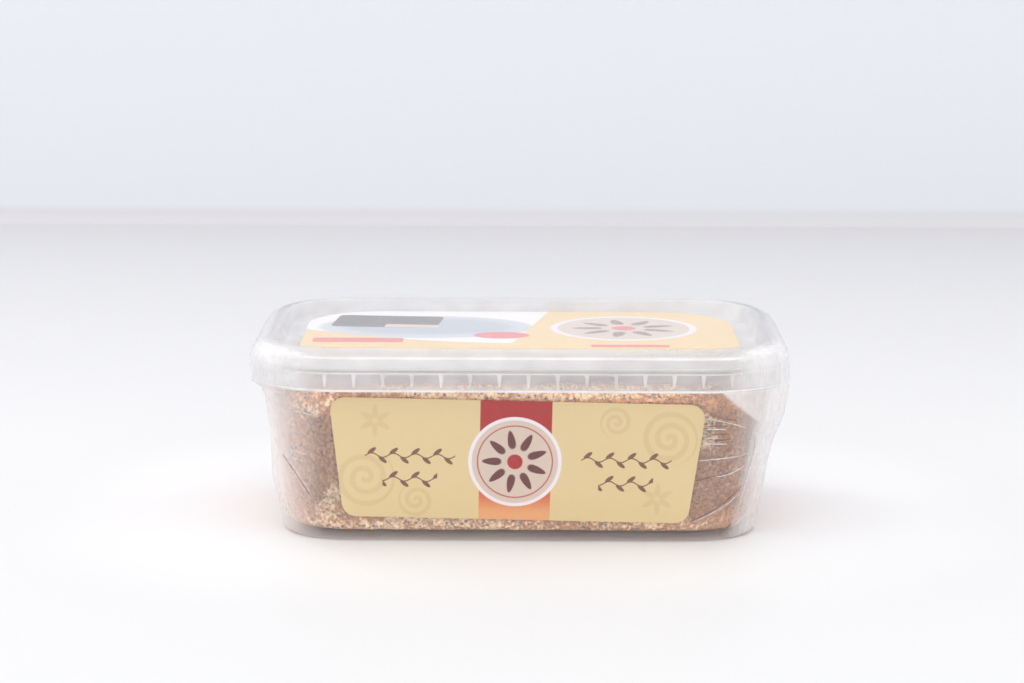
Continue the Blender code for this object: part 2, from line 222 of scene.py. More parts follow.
class Graph:
    """The nodes of one material."""

    def __init__(self, name):
        self.material = bpy.data.materials.new(name)
        self.material.use_nodes = True
        self.tree = self.material.node_tree
        self.tree.nodes.clear()

    def node(self, kind, settings=None, sockets=None):
        return new_node(self.tree, "ShaderNode" + kind, settings, sockets)

    def wire(self, kind, settings=None, sockets=None, out=0):
        return Wire(self, self.node(kind, settings, sockets).outputs[out])

    def math(self, operation, *values):
        return self.wire("Math", {"operation": operation}, dict(enumerate(values)))

    def larger(self, first, *others):
        """The largest of several values."""
        for other in others:
            first = self.math("MAXIMUM", first, other)
        return first

    def distance(self, across, up):
        return self.math("SQRT", across**2 + up**2)

    def rise(self, value, low, high):
        """Goes smoothly from 0 at low to 1 at high."""
        return self.wire(
            "MapRange",
            {"interpolation_type": "SMOOTHSTEP"},
            {"Value": value, "From Min": low, "From Max": high, "To Min": 0.0, "To Max": 1.0},
        )

    def slope(self, value, low, high):
        """Goes straight from 0 at low to 1 at high."""
        sockets = {"Value": value, "From Min": low, "From Max": high, "To Min": 0.0, "To Max": 1.0}
        return self.wire("MapRange", {"interpolation_type": "LINEAR"}, sockets)

    def within(self, distance, limit, soft):
        """1 where a distance is under its limit, with a soft edge."""
        return self.rise(distance, limit + soft, limit - soft)

    def paint(self, under, over, mask):
        """One colour over another where the mask says."""
        return self.wire("Mix", {"data_type": "RGBA"}, {0: mask, 6: under, 7: over}, out=2)

    def coats(self, ground, layers):
        """Paints plain colours over a ground, one after another, each where its mask says."""
        for colour, mask in layers:
            ground = self.paint(ground, rgba(colour), mask)
        return ground

    def multiplied(self, under, over, share):
        """One colour times another, by a share."""
        settings = {"data_type": "RGBA", "blend_type": "MULTIPLY"}
        return self.wire("Mix", settings, {0: share, 6: under, 7: over}, out=2)

    def place(self, scale=(1.0, 1.0, 1.0)):
        """The piece's own coordinates, scaled."""
        coords = self.wire("TexCoord", None, None, out=3)
        return self.wire("Mapping", {"vector_type": "POINT"}, {"Vector": coords, "Scale": scale})

    def millimetres(self):
        return self.place((PER_MM, PER_MM, PER_MM))

    def axes(self, vector):
        split = self.node("SeparateXYZ", None, {0: vector})
        return [Wire(self, socket) for socket in split.outputs]

    def grain(self, vector, scale, detail=2.0, roughness=0.5, distortion=0.0):
        sockets = {
            "Vector": vector, "Scale": scale, "Detail": detail, "Roughness": roughness,
            "Distortion": distortion,
        }
        return self.wire("TexNoise", None, sockets)

    def bump(self, height, distance, strength=1.0):
        sockets = {"Height": height, "Distance": distance, "Strength": strength}
        return self.wire("Bump", None, sockets)

    def surface(self, shader):
        output = self.node("OutputMaterial")
        self.tree.links.new(shader.outputs[0], output.inputs["Surface"])
        return self.material


# Mesh building


def merged_copy(node, name):
    """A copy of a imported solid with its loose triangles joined."""
    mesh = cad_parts[node].data.copy()
    mesh.name = name
    shape = bmesh.new()
    shape.from_mesh(mesh)
    bmesh.ops.remove_doubles(shape, verts=shape.verts, dist=1e-6)
    shape.to_mesh(mesh)
    shape.free()
    return mesh


def surface_of(mesh):
    return BVHTree.FromPolygons([v.co for v in mesh.vertices], [tuple(p.vertices) for p in mesh.polygons])


def rounded_ring(half_x, half_y, radius, counts):
    """Points and outward directions round a rounded rectangle, anticlockwise from its right side."""
    along_x, along_y, round_corner = counts
    points = []
    for quarter in range(4):
        start = quarter * math.pi / 2
        outward = Vector((math.cos(start), math.sin(start)))
        onward = Vector((-outward.y, outward.x))
        upright = quarter % 2 == 0
        reach = half_x if upright else half_y
        flat = (half_y if upright else half_x) - radius
        count = along_y if upright else along_x
        for step in range(count):
            points.append((outward * reach + onward * flat * (2 * step / count - 1), outward))
        centre = outward * (reach - radius) + onward * flat
        for step in range(round_corner):
            turn = start + math.pi / 2 * step / round_corner
            direction = Vector((math.cos(turn), math.sin(turn)))
            points.append((centre + direction * radius, direction))
    return points


def ring_counts(half_x, half_y, radius, step):
    lengths = (2 * (half_x - radius), 2 * (half_y - radius), radius * math.pi / 2)
    return tuple(max(2, round(length / step)) for length in lengths)


def eased(points, passes):
    """A closed ring of points with its corners rounded a little."""
    for _ in range(passes):
        after = points[1:] + points[:1]
        before = points[-1:] + points[:-1]
        points = [(a + b * 2.0 + c) / 4.0 for a, b, c in zip(before, points, after)]
    return points


def cast_ring(surface, ring, height, side, passes):
    """Where a level ring meets a surface, outwards (1) or inwards (-1), with its corners eased."""
    starts = [Vector((point.x, point.y, height)) for point, _ in ring]
    hits = [surface.ray_cast(start, out.to_3d() * side)[0] for start, (_, out) in zip(starts, ring)]
    return eased(hits, passes)


def loft(rows, name, close_bottom=False):
    """A mesh from rings of equally many points, lowest ring first, closed at its top."""
    size = len(rows[0])
    verts = [point for row in rows for point in row]
    faces = []
    for level in range(len(rows) - 1):
        for here in range(size):
            ahead = (here + 1) % size
            low, high = level * size, (level + 1) * size
            faces.append((low + here, low + ahead, high + ahead, high + here))
    tip = len(verts)
    verts.append(sum(rows[-1], Vector()) / size)
    last = (len(rows) - 1) * size
    faces.extend((last + here, last + (here + 1) % size, tip) for here in range(size))
    if close_bottom:
        tip = len(verts)
        verts.append(sum(rows[0], Vector()) / size)
        faces.extend(((here + 1) % size, here, tip) for here in range(size))
    mesh = bpy.data.meshes.new(name)
    mesh.from_pydata(verts, [], faces)
    mesh.update()
    return mesh


def added(name, data):
    """A new object of the scene."""
    item = bpy.data.objects.new(name, data)
    bpy.context.scene.collection.objects.link(item)
    return item


def piece_from(mesh, name, material, replaced=None):
    """Shows a mesh as a piece of the object."""
    mesh.materials.clear()
    mesh.materials.append(material)
    piece = added(name, mesh)
    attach(piece, BODY)
    if replaced:
        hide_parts(replaced)
    return piece


def applied(item, name):
    """The evaluated object as a plain mesh; the object itself is removed."""
    bpy.context.view_layer.update()
    evaluated = item.evaluated_get(bpy.context.evaluated_depsgraph_get())
    mesh = bpy.data.meshes.new_from_object(evaluated)
    mesh.name = name
    bpy.data.objects.remove(item, do_unlink=True)
    return mesh


def smooth_rise(value, low, high):
    share = min(1.0, max(0.0, (value - low) / (high - low)))
    return share * share * (3 - 2 * share)


# Halva

TUB_MESH = merged_copy("tub", "tub_shell")
TUB_SURFACE = surface_of(TUB_MESH)
HALVA_LOW, HALVA_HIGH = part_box("halva_block")
START_INSET, START_LIFT = 6.0 * MM, 0.1 * MM
HALVA_RADIUS = 16.0 * MM
HALVA_TOP_RINGS = 44
CREAM_ELSEWHERE = 0.35
COCOA_DIM, COCOA_BRIGHT = (0.70, 0.69, 0.69), (1.26, 1.23, 1.20)
LIT_COLOUR = (2.6, 2.53, 2.44)

# Cream patches on the front: middle across and up, half sizes, turn and strength
CREAM_PATCHES = (
    (0.0, 49.0, 64.0, 4.0, 0.0, 0.95),
    (-65.0, 46.0, 13.0, 7.0, 0.0, 0.70),
    (-59.5, 12.0, 3.6, 10.0, -0.45, 0.85),
    (-60.0, 5.5, 8.0, 5.0, 0.1, 0.85),
    (-24.0, 3.8, 37.0, 5.2, 0.0, 0.95),
    (36.0, 4.0, 28.0, 4.4, 0.0, 0.55),
    (58.0, 36.5, 4.2, 7.0, 0.0, 0.85),
)


def patch_share(x, z, patch):
    """How far a place on the front lies inside a cream patch."""
    centre_x, centre_z, half_x, half_z, turn, strength = patch
    across, up = x * PER_MM - centre_x, z * PER_MM - centre_z
    along = across * math.cos(turn) + up * math.sin(turn)
    beside = up * math.cos(turn) - across * math.sin(turn)
    reach = math.hypot(along / half_x, beside / half_z)
    return strength * (1.0 - smooth_rise(reach, 0.55, 1.25))


def cream_share(place):
    """How much pale halva shows at a place, from 0 to 1."""
    stretched = Vector((place.x * 70, place.y * 70, place.z * 130))
    warp = Vector((noise.noise(stretched * 0.6), noise.noise(stretched * 0.6 + Vector((9, 3, 5))), 0.0))
    marble = noise.fractal(stretched + warp * 1.6, 0.7, 2.1, 4)
    if place.y < -HALVA_RADIUS and place.z < HALVA_HIGH.z - 0.5 * MM:
        lift = max(patch_share(place.x, place.z, patch) for patch in CREAM_PATCHES)
    else:
        lift = CREAM_ELSEWHERE
    return min(1.0, max(0.0, lift + 0.3 * marble))


def crag(place, cream):
    """How deep the surface is pitted at a place, from 0 to 1."""
    coarse = noise.fractal(place * 260, 0.8, 2.0, 3)
    fine = noise.noise(place * 900)
    flaky = smooth_rise(coarse, 0.0, 0.55) * (0.35 + 0.65 * cream)
    holes = smooth_rise(noise.noise(place * 520 + Vector((3, 1, 7))), 0.42, 0.62)
    return min(1.0, flaky + 0.5 * holes + 0.12 * max(0.0, fine))


def wall_rows(sizes):
    """Rings of the halva against the tub's inner wall, lowest first, and how creamy each place is."""
    radius = HALVA_RADIUS + START_INSET
    counts = ring_counts(HALVA_HIGH.x, HALVA_HIGH.y, radius, sizes.mesh_step)
    start_x, start_y = HALVA_HIGH.x - 2 * START_INSET, HALVA_HIGH.y - 2 * START_INSET
    ring = rounded_ring(start_x, start_y, HALVA_RADIUS, counts)
    tall = HALVA_HIGH.z - HALVA_LOW.z
    levels = round(tall / sizes.mesh_step)
    rows, creams = [], []
    for level in range(levels + 1):
        height = HALVA_LOW.z - sizes.wall_reach + tall * level / levels
        start_height = max(height, HALVA_LOW.z + START_LIFT)
        edge = smooth_rise(level, levels - 2, levels) * sizes.top_crag
        row, shades = [], []
        hits = cast_ring(TUB_SURFACE, ring, start_height, 1, sizes.easing)
        for hit, (_, outward) in zip(hits, ring):
            cream = cream_share(hit)
            depth = crag(hit, cream) * sizes.crag_depth
            place = hit + outward.to_3d() * (sizes.wall_reach - depth - edge)
            row.append(Vector((place.x, place.y, height)))
            shades.append(cream)
        rows.append(row)
        creams.append(shades)
    return rows, creams


def top_rows(rim, sizes):
    """Rings across the halva's crumbly top, from its rim inwards."""
    rows, creams = [], []
    for level in range(1, HALVA_TOP_RINGS):
        shrink = 1.0 - level / HALVA_TOP_RINGS
        sink = sizes.top_dip * (1.0 - shrink**4)
        fade = smooth_rise(level, 0, 4)
        row, shades = [], []
        for point in rim:
            flat = Vector((point.x * shrink, point.y * shrink, HALVA_HIGH.z))
            cream = cream_share(flat)
            rough = noise.fractal(flat * 170, 0.7, 2.0, 4) * 0.6 + 0.3 * cream
            row.append(flat + Vector((0, 0, fade * (sizes.top_crag * (rough - 0.6) - 0.4 * sink))))
            shades.append(cream)
        rows.append(row)
        creams.append(shades)
    return rows, creams


def halva_rows(sizes):
    """All rings of the halva and how creamy each place is."""
    rows, creams = wall_rows(sizes)
    more_rows, more_creams = top_rows(rows[-1], sizes)
    return rows + more_rows, creams + more_creams


def halva_holes(graph, spot, scale, share, radius):
    """Small round holes, in only a share of the cells, gathered in clusters."""
    sockets = {"Vector": spot, "Scale": scale, "Randomness": 1.0}
    cells = graph.node("TexVoronoi", {"feature": "F1"}, sockets)
    nearest, chance = Wire(graph, cells.outputs["Distance"]), Wire(graph, cells.outputs["Color"])
    cluster = graph.grain(spot, scale * 0.22, 1.0)
    chosen = graph.rise(graph.axes(chance)[0] + (cluster - 0.5) * 1.6, 1.0 - share, 1.04 - share)
    return graph.within(nearest, radius, 0.08) * chosen


def halva_light(graph):
    """Where more light reaches the halva: under its top, over its foot and at both ends."""
    x, _, height = graph.axes(graph.millimetres())
    near_top, near_foot = graph.rise(height, 38.0, 46.0), graph.rise(height, 14.0, 4.0)
    at_left, at_right = graph.slope(x * -1.0, 63.0, 75.0), graph.slope(x, 62.0, 74.0)
    top_share = graph.slope(x, 46.0, 58.0) * -0.34 + 0.78
    return graph.larger(near_top * top_share, at_left * 0.95) + near_foot * 0.33 + at_right * 0.45


def halva_material(colours):
    """Matt brown halva, marbled with cream flakes, grainy, with air holes at the wall in a painted
    blue-grey shade.
    """
    graph = Graph("marbled_halva")
    spot = graph.place()
    marble = graph.wire("Attribute", {"attribute_name": "cream"}, None, out=2)
    flakes = graph.grain(spot, 340.0, 3.0, 0.62, 0.7)
    grain = graph.grain(spot, 950.0, 3.0, 0.65)
    share = marble * 0.5 + flakes * 1.5 + grain * 0.8 - 0.65
    pale = graph.rise(share, 0.72, 1.10)
    streaks = graph.rise(flakes, 0.38, 0.60) * 0.45 + 0.55
    base = graph.paint(rgba(colours.cocoa_dark), rgba(colours.cocoa), streaks)
    large_holes = halva_holes(graph, spot, 620.0, 0.30, 0.30)
    small_holes = halva_holes(graph, spot, 1050.0, 0.34, 0.34)
    holes = graph.larger(large_holes, small_holes * 0.7)
    # The air holes get the painted shade colour
    base = graph.coats(base, ((colours.cream, pale * 0.8), (colours.speck, holes * 0.8)))
    dim = graph.paint(rgba(COCOA_DIM), rgba(COCOA_BRIGHT), graph.rise(grain, 0.34, 0.66))
    tone = graph.multiplied(base, dim, 1.0)
    gloss = {
        "Base Color": graph.multiplied(tone, rgba(LIT_COLOUR), halva_light(graph) * (1.0 - pale * 0.5)),
        "Roughness": grain * 0.2 + 0.62,
        "Specular IOR Level": 0.25,
        "Normal": graph.bump(grain * 0.4 + flakes - holes, 0.3 * MM, 0.6),
    }
    return graph.surface(graph.node("BsdfPrincipled", None, gloss))


class HALVATUB_OT_halva(bpy.types.Operator):
    """Fills the tub with marbled halva that is pressed against its wall"""

    bl_idname = "halvatub.halva"
    bl_label = "Halva"

    def execute(self, context):
        sizes = context.scene.halva_settings
        rows, creams = halva_rows(sizes)
        mesh = loft(rows, "halva", close_bottom=True)
        shade = mesh.attributes.new("cream", "FLOAT", "POINT")
        values = [value for row in creams for value in row]
        values += [values[-1], values[0]]
        shade.data.foreach_set("value", values)
        mesh.shade_smooth()
        material = halva_material(sizes)
        piece_from(mesh, "halva", material, "halva_block")
        return {"FINISHED"}


# Loose crumbs on top of the halva


class NodeBench:
    """Builds a geometry tree, one node at a time."""

    def __init__(self, name):
        self.tree = bpy.data.node_groups.new(name, "GeometryNodeTree")
        self.tree.interface.new_socket(name="Geometry", in_out="INPUT", socket_type="NodeSocketGeometry")
        self.inputs = {}

    def ask(self, name, kind, default):
        """Adds a named input of the tree."""
        socket = self.tree.interface.new_socket(name=name, in_out="INPUT", socket_type=kind)
        if default is not None:
            socket.default_value = default
        self.inputs[name] = socket.identifier

    def start(self):
        self.tree.interface.new_socket(name="Geometry", in_out="OUTPUT", socket_type="NodeSocketGeometry")
        return self.tree.nodes.new("NodeGroupInput")

    def node(self, kind, settings=None, sockets=None):
        return new_node(self.tree, kind, settings, sockets)

    def math(self, operation, *values):
        settings = {"operation": operation}
        return self.node("ShaderNodeMath", settings, dict(enumerate(values))).outputs[0]

    def finish(self, geometry, material):
        """Ends the tree with real geometry in one material."""
        real = self.node("GeometryNodeRealizeInstances", None, {"Geometry": geometry})
        sockets = {"Geometry": real.outputs[0], "Material": material}
        painted = self.node("GeometryNodeSetMaterial", None, sockets)
        self.node("NodeGroupOutput", None, {"Geometry": painted.outputs[0]})

    def apply(self, item, values, name):
        """Runs the tree on an object and gives the result as a plain mesh."""
        modifier = item.modifiers.new("tree", "NODES")
        modifier.node_group = self.tree
        for key, value in values.items():
            modifier[self.inputs[key]] = value
        return applied(item, name)


CRUMB_NORMAL_LIMIT = 0.75
CRUMB_SIZES = (0.45 * MM, 1.25 * MM)
CRUMB_SHAPE = (1.3, 1.0, 0.55)


def crumb_tree(material):
    """Scatters small crumbs over the faces that look up."""
    bench = NodeBench("halva_crumbs")
    bench.ask("Density", "NodeSocketFloat", 1000.0)
    bench.ask("Smallest", "NodeSocketFloat", CRUMB_SIZES[0])
    bench.ask("Largest", "NodeSocketFloat", CRUMB_SIZES[1])
    bench.ask("Seed", "NodeSocketInt", 0)
    given = bench.start().outputs
    normal = bench.node("GeometryNodeInputNormal")
    upward = bench.node("ShaderNodeSeparateXYZ", None, {0: normal.outputs[0]})
    sockets = {"A": upward.outputs[2], "B": CRUMB_NORMAL_LIMIT}
    looks_up = bench.node("FunctionNodeCompare", {"operation": "GREATER_THAN"}, sockets)
    sockets = {
        "Mesh": given["Geometry"], "Selection": looks_up.outputs[0],
        "Density": given["Density"], "Seed": given["Seed"],
    }
    settings = {"distribute_method": "RANDOM"}
    points = bench.node("GeometryNodeDistributePointsOnFaces", settings, sockets)
    sockets = {2: given["Smallest"], 3: given["Largest"], "Seed": given["Seed"]}
    size = bench.node("FunctionNodeRandomValue", {"data_type": "FLOAT"}, sockets)
    sockets = {0: (0.0, 0.0, 0.0), 1: (math.tau, math.tau, math.tau), "Seed": given["Seed"]}
    turn = bench.node("FunctionNodeRandomValue", {"data_type": "FLOAT_VECTOR"}, sockets)
    crumb = bench.node("GeometryNodeMeshIcoSphere", None, {"Radius": 0.5, "Subdivisions": 1})
    sockets = {"Geometry": crumb.outputs[0], "Scale": CRUMB_SHAPE}
    shape = bench.node("GeometryNodeTransform", None, sockets)
    sockets = {
        "Points": points.outputs["Points"], "Instance": shape.outputs[0],
        "Rotation": turn.outputs[0], "Scale": size.outputs[1],
    }
    placed = bench.node("GeometryNodeInstanceOnPoints", None, sockets)
    bench.finish(placed.outputs[0], material)
    return bench


class HALVATUB_OT_crumbs(bpy.types.Operator):
    """Strews crumbs over the top of the halva"""

    bl_idname = "halvatub.crumbs"
    bl_label = "Crumbs"

    def execute(self, context):
        sizes = context.scene.halva_settings
        halva = bpy.data.objects["halva"]
        material = halva.data.materials[0]
        bench = crumb_tree(material)
        ground = added("crumb_ground", halva.data.copy())
        mesh = bench.apply(ground, {"Density": float(sizes.crumbs), "Seed": sizes.seed}, "halva_crumbs")
        shade = mesh.attributes.new("cream", "FLOAT", "POINT")
        shade.data.foreach_set("value", [cream_share(vert.co * 1.7) for vert in mesh.vertices])
        mesh.shade_smooth()
        piece_from(mesh, "halva_crumbs", material)
        return {"FINISHED"}


# Clear tub and lid

SMOOTH_LIMIT = math.radians(28)
SHEEN_ROUGHNESS = 0.06

# Places on the tub and lid, in millimetres
DRAFT, FOOT_INSET = 0.125, 10.2
RIM_STRAIGHT_X, RIM_STRAIGHT_Y, RIM_CORNER = 57.2, 28.9, 27.3
SKIRT_LOW, SKIRT_THICK, FOOT_HIGH = 49.1, 1.2, 3.1
FLANGE_LOW, FLANGE_LINE = 54.5, 54.8
RIB_PITCH, RIB_SHIFT, RIB_LOW = 8.94, 2.7, 50.6
RIB_REACH_SIDE, RIB_REACH_END = 65.0, 29.0
LID_LINE, SHOULDER_CREASE = 56.5, 59.3
PANEL_EDGE = 8.0


def clear_material(graph, haze, milk, tint, mirror, normal=None, sheen=0.8):
    """Clear plastic: lets the view through, veils it a little, and mirrors more at a glancing angle."""
    glance = graph.wire("LayerWeight", None, {"Blend": 0.5}, out=1)
    shine = glance**5 * sheen + mirror
    through = graph.wire("BsdfTransparent", None, {"Color": rgba(tint)})
    veil = {"Base Color": rgba(milk), "Roughness": 0.55, "Specular IOR Level": 0.2}
    gloss = {"Base Color": (1.0, 1.0, 1.0, 1.0), "Metallic": 1.0, "Roughness": SHEEN_ROUGHNESS}
    if normal:
        veil["Normal"] = normal
        gloss["Normal"] = normal
    milky, glossy = (graph.wire("BsdfPrincipled", None, sockets) for sockets in (veil, gloss))
    veiled = graph.wire("MixShader", None, {0: haze, 1: through, 2: milky})
    return graph.surface(graph.node("MixShader", None, {0: shine, 1: veiled, 2: glossy}))


def rim_inset(graph, x, y):
    """How far in from the lid's outer edge a place lies, in millimetres."""
    past_x = graph.larger(abs(x) - RIM_STRAIGHT_X, 0.0)
    past_y = graph.larger(abs(y) - RIM_STRAIGHT_Y, 0.0)
    return RIM_CORNER - graph.distance(past_x, past_y)


def rib_pattern(graph, x, y, z):
    """Where the tapered ribs stand behind the skirt, on the long sides and at the ends."""
    half_width = graph.slope(z, RIB_LOW, FLANGE_LOW) * 0.4 + 0.3
    along_side = x * graph.math("SIGN", y) * -1.0 - RIB_SHIFT
    at_end = graph.rise(abs(x), RIM_STRAIGHT_X + 22.0, RIM_STRAIGHT_X + 23.0)
    along = along_side * (1.0 - at_end) + y * at_end
    reach = graph.rise(abs(along), RIB_REACH_SIDE, RIB_REACH_SIDE - 1.0) * (1.0 - at_end)
    reach = reach + graph.rise(abs(along), RIB_REACH_END, RIB_REACH_END - 1.0) * at_end
    off = abs((along / RIB_PITCH + 0.5) % 1.0 - 0.5) * RIB_PITCH
    tall = graph.rise(z, RIB_LOW - 0.3, RIB_LOW + 0.3) * graph.rise(z, FLANGE_LOW + 0.5, FLANGE_LOW)
    return graph.rise(off - half_width, 0.15, -0.15) * tall * reach


def tub_veil(graph, x, y, z, plastic):
    """Milkiness of the tub: low on its walls, more on its foot, skirt and ribs, with painted highlight
    lines along the flange and the skirt's lower edge; the skirt fades to the right as painted light from
    the left.
    """
    inset = rim_inset(graph, x, y)
    clear_of_wall = graph.rise(z * -DRAFT + FOOT_INSET - inset, 0.08, 0.2)
    behind_skirt = graph.rise(inset, SKIRT_THICK, SKIRT_THICK + 0.2)
    below_flange = graph.rise(z, FLANGE_LOW, FLANGE_LOW - 0.2)
    below_flange = below_flange * graph.rise(z, SKIRT_LOW + 0.7, SKIRT_LOW + 1.2)
    rib = clear_of_wall * behind_skirt * below_flange * plastic.rib_haze
    at_corners = graph.rise(abs(x), 60.0, 72.0) * (graph.rise(abs(y), 20.0, 34.0) * 0.35 + 0.05)
    # The skirt's haze fades from left to right, painted light from the left; it is also higher towards the
    # flange
    across = (graph.slope(x, -70.0, 50.0) * -0.35 + 1.1) * (graph.rise(z, 51.0, 53.0) * 0.3 + 0.7)
    # Painted highlight: a white line along the flange
    flange_highlight = graph.within(abs(z - FLANGE_LINE), 0.15, 0.15) * 0.5
    ribbed = rib_pattern(graph, x, y, z) * plastic.rib_haze
    outside = graph.rise(inset, SKIRT_THICK + 0.1, SKIRT_THICK - 0.1)
    skirt = outside * (graph.larger(ribbed, flange_highlight, at_corners) + across * plastic.skirt_haze)
    # Painted highlight: a bright line along the skirt's lower edge
    edge = graph.rise(z, SKIRT_LOW + 0.9, SKIRT_LOW + 0.5) * graph.rise(inset, 1.3, 1.1)
    foot = graph.rise(z, FOOT_HIGH, FOOT_HIGH - 0.4) * plastic.foot_haze
    return graph.larger(rib, skirt, edge * plastic.edge_highlight_haze, foot) + plastic.tub_haze


def lid_veil(graph, x, y, z, plastic):
    """Milkiness of the lid: panel, ridge and upright wall, with painted highlight lines along its shoulder
    crease and lower edge; the wall and ridge fade to the right as painted light from the left.
    """
    inside = graph.rise(rim_inset(graph, x, y), PANEL_EDGE - 0.5, PANEL_EDGE + 0.5)
    # The wall and ridge are milkier to the left than to the right: painted light from the left
    to_right = graph.slope(x, -20.0, 60.0)
    high = graph.rise(z, SHOULDER_CREASE, SHOULDER_CREASE + 0.6)
    wall = (to_right * -0.35 + 1.05) * (1.0 - high) * plastic.wall_haze
    ridge = (to_right * -0.2 + 1.0) * high * plastic.ridge_haze
    # Painted highlight: a white line along the shoulder crease, and another along the lid's lower edge
    crease = graph.within(abs(z - SHOULDER_CREASE), 0.3, 0.15) * 0.85
    line = graph.within(abs(z - LID_LINE), 0.2, 0.15) * 0.6
    return graph.larger(wall + ridge, crease, line) * (1.0 - inside) + inside * plastic.lid_haze


def plastic_material(node, plastic):
    """Moulded clear plastic, its haze a little cloudy and its face faintly uneven."""
    graph = Graph(f"clear_{node}_plastic")
    spot = graph.millimetres()
    veil = {"tub": tub_veil, "lid": lid_veil}[node](graph, *graph.axes(spot), plastic)
    clouds = graph.rise(graph.grain(spot, 0.09, 1.0), 0.25, 0.75) * 0.4 + 0.8
    ripple = graph.bump(graph.grain(spot, 0.22, 1.0), 0.05 * MM, 0.5)
    return clear_material(graph, veil * clouds, plastic.milk, plastic.tint, plastic.mirror, ripple)


class HALVATUB_OT_plastics(bpy.types.Operator):
    """Rounds the clear tub and lid and gives them clear plastic"""

    bl_idname = "halvatub.plastics"
    bl_label = "Tub and Lid"

    def execute(self, context):
        plastic = context.scene.plastic_settings
        for node in ("tub", "lid"):
            mesh = merged_copy(node, f"clear_{node}")
            mesh.shade_smooth()
            mesh.set_sharp_from_angle(angle=SMOOTH_LIMIT)
            material = plastic_material(node, plastic)
            piece_from(mesh, f"clear_{node}", material, node)
        return {"FINISHED"}


# Side labels

LABEL_CENTRE = (-0.9, 26.5)
LABEL_TURN = math.radians(1.1)
PRINT_EDGE = 0.12
BAND_MIDDLE, BAND_HALF = -0.4, 11.1
BADGE_CENTRE, BADGE_RADIUS, RING_WIDTH = (-0.5, -0.4), 14.5, 1.1
BAND_STOPS = (-18.0, -10.0, 8.0)
THREAD_RADIUS, HUB_RADIUS = 11.6, 2.4
LEAF_SLANT = math.radians(38)
LEAF_PITCH, LEAF_MIDDLE, LEAF_HALVES = 3.4, (0.0, 1.45), (1.6, 0.62)
VINE_SWING, FINE_LINE = 0.7, 0.22
SEED_COUNT, SEED_MIDDLE, SEED_LENGTH, SEED_WIDTH = 9, 7.2, 3.0, 1.15
# Each vine: its middle across and up, and half its length
VINES = (((-33.0, 0.8), 14.0), ((34.0, 0.8), 14.0), ((-33.0, -6.8), 8.5), ((34.0, -6.8), 8.5))


def disc(graph, across, up, centre, radius, edge=PRINT_EDGE):
    reach = graph.distance(across - centre[0], up - centre[1])
    return graph.within(reach, radius, edge), reach


def oval(graph, across, up, centre, halves, edge):
    reach = graph.distance((across - centre[0]) / halves[0], (up - centre[1]) / halves[1])
    return graph.within(reach, 1.0, edge / min(halves))


def turned(across, up, centre, angle):
    """Print coordinates about a centre, turned by an angle."""
    side, rise = across - centre[0], up - centre[1]
    cosine, sine = math.cos(angle), math.sin(angle)
    return side * cosine + rise * sine, rise * cosine - side * sine


def bar(graph, across, up, centre, halves, angle, corner):
    """A bar with round corners."""
    side, rise = turned(across, up, centre, angle)
    past_side = graph.larger(abs(side) - (halves[0] - corner), 0.0)
    past_rise = graph.larger(abs(rise) - (halves[1] - corner), 0.0)
    return graph.within(graph.distance(past_side, past_rise), corner, PRINT_EDGE)


def scroll(graph, across, up, centre, radius, turns, width, hand=1.0):
    """A flat spiral band."""
    side, rise = across - centre[0], up - centre[1]
    reach = graph.distance(side, rise)
    angle = graph.math("ARCTAN2", rise, side) * (hand / math.tau)
    pitch = radius / turns
    arm = abs((reach / pitch - angle) % 1.0 - 0.5) * pitch
    return graph.within(arm, width / 2, PRINT_EDGE) * graph.within(reach, radius, PRINT_EDGE)


def rosette(graph, across, up, centre, count, middle, half_length, half_width):
    """A ring of seed shapes that point outwards."""
    side, rise = across - centre[0], up - centre[1]
    reach = graph.distance(side, rise)
    sector = graph.math("ARCTAN2", rise, side) * (count / math.tau)
    angle = (sector % 1.0 - 0.5) * (math.tau / count)
    along = (reach * graph.math("COSINE", angle) - middle) / half_length
    beside = reach * graph.math("SINE", angle) / half_width
    taper = 1.0 + along * 0.35
    return graph.within(graph.distance(along, beside * taper), 1.0, 0.12)


def vine(graph, across, up, centre, half_length):
    """A wavy stem with leaves on alternate sides."""
    side, rise = across - centre[0], up - centre[1]
    wave = graph.math("SINE", side * (math.pi / LEAF_PITCH)) * VINE_SWING
    stem = graph.within(abs(rise - wave), FINE_LINE, PRINT_EDGE)
    cell = side / LEAF_PITCH
    hand = graph.math("SIGN", (cell % 2.0) - 1.0) * -1.0
    local = (cell % 1.0 - 0.5) * LEAF_PITCH
    leaf_side, leaf_rise = turned(local, rise * hand, LEAF_MIDDLE, LEAF_SLANT)
    leaf = graph.distance(leaf_side / LEAF_HALVES[0], leaf_rise / LEAF_HALVES[1])
    leaf = graph.within(leaf, 1.0, 0.14)
    return graph.larger(stem, leaf) * graph.within(abs(side), half_length, PRINT_EDGE)


def tone_ornament(graph, across, up):
    """Generic scrolls and seeds, tone on tone."""
    return graph.larger(
        scroll(graph, across, up, (-47.0, -6.5), 9.5, 2.5, 1.7),
        scroll(graph, across, up, (-31.0, -13.5), 5.5, 2.0, 1.3, hand=-1.0),
        rosette(graph, across, up, (-44.0, 12.0), 6, 3.0, 2.2, 0.9),
        scroll(graph, across, up, (47.0, 8.0), 9.0, 2.5, 1.7, hand=-1.0),
        scroll(graph, across, up, (30.5, 13.0), 5.0, 2.0, 1.3),
        rosette(graph, across, up, (44.0, -11.5), 6, 3.0, 2.2, 0.9),
    )


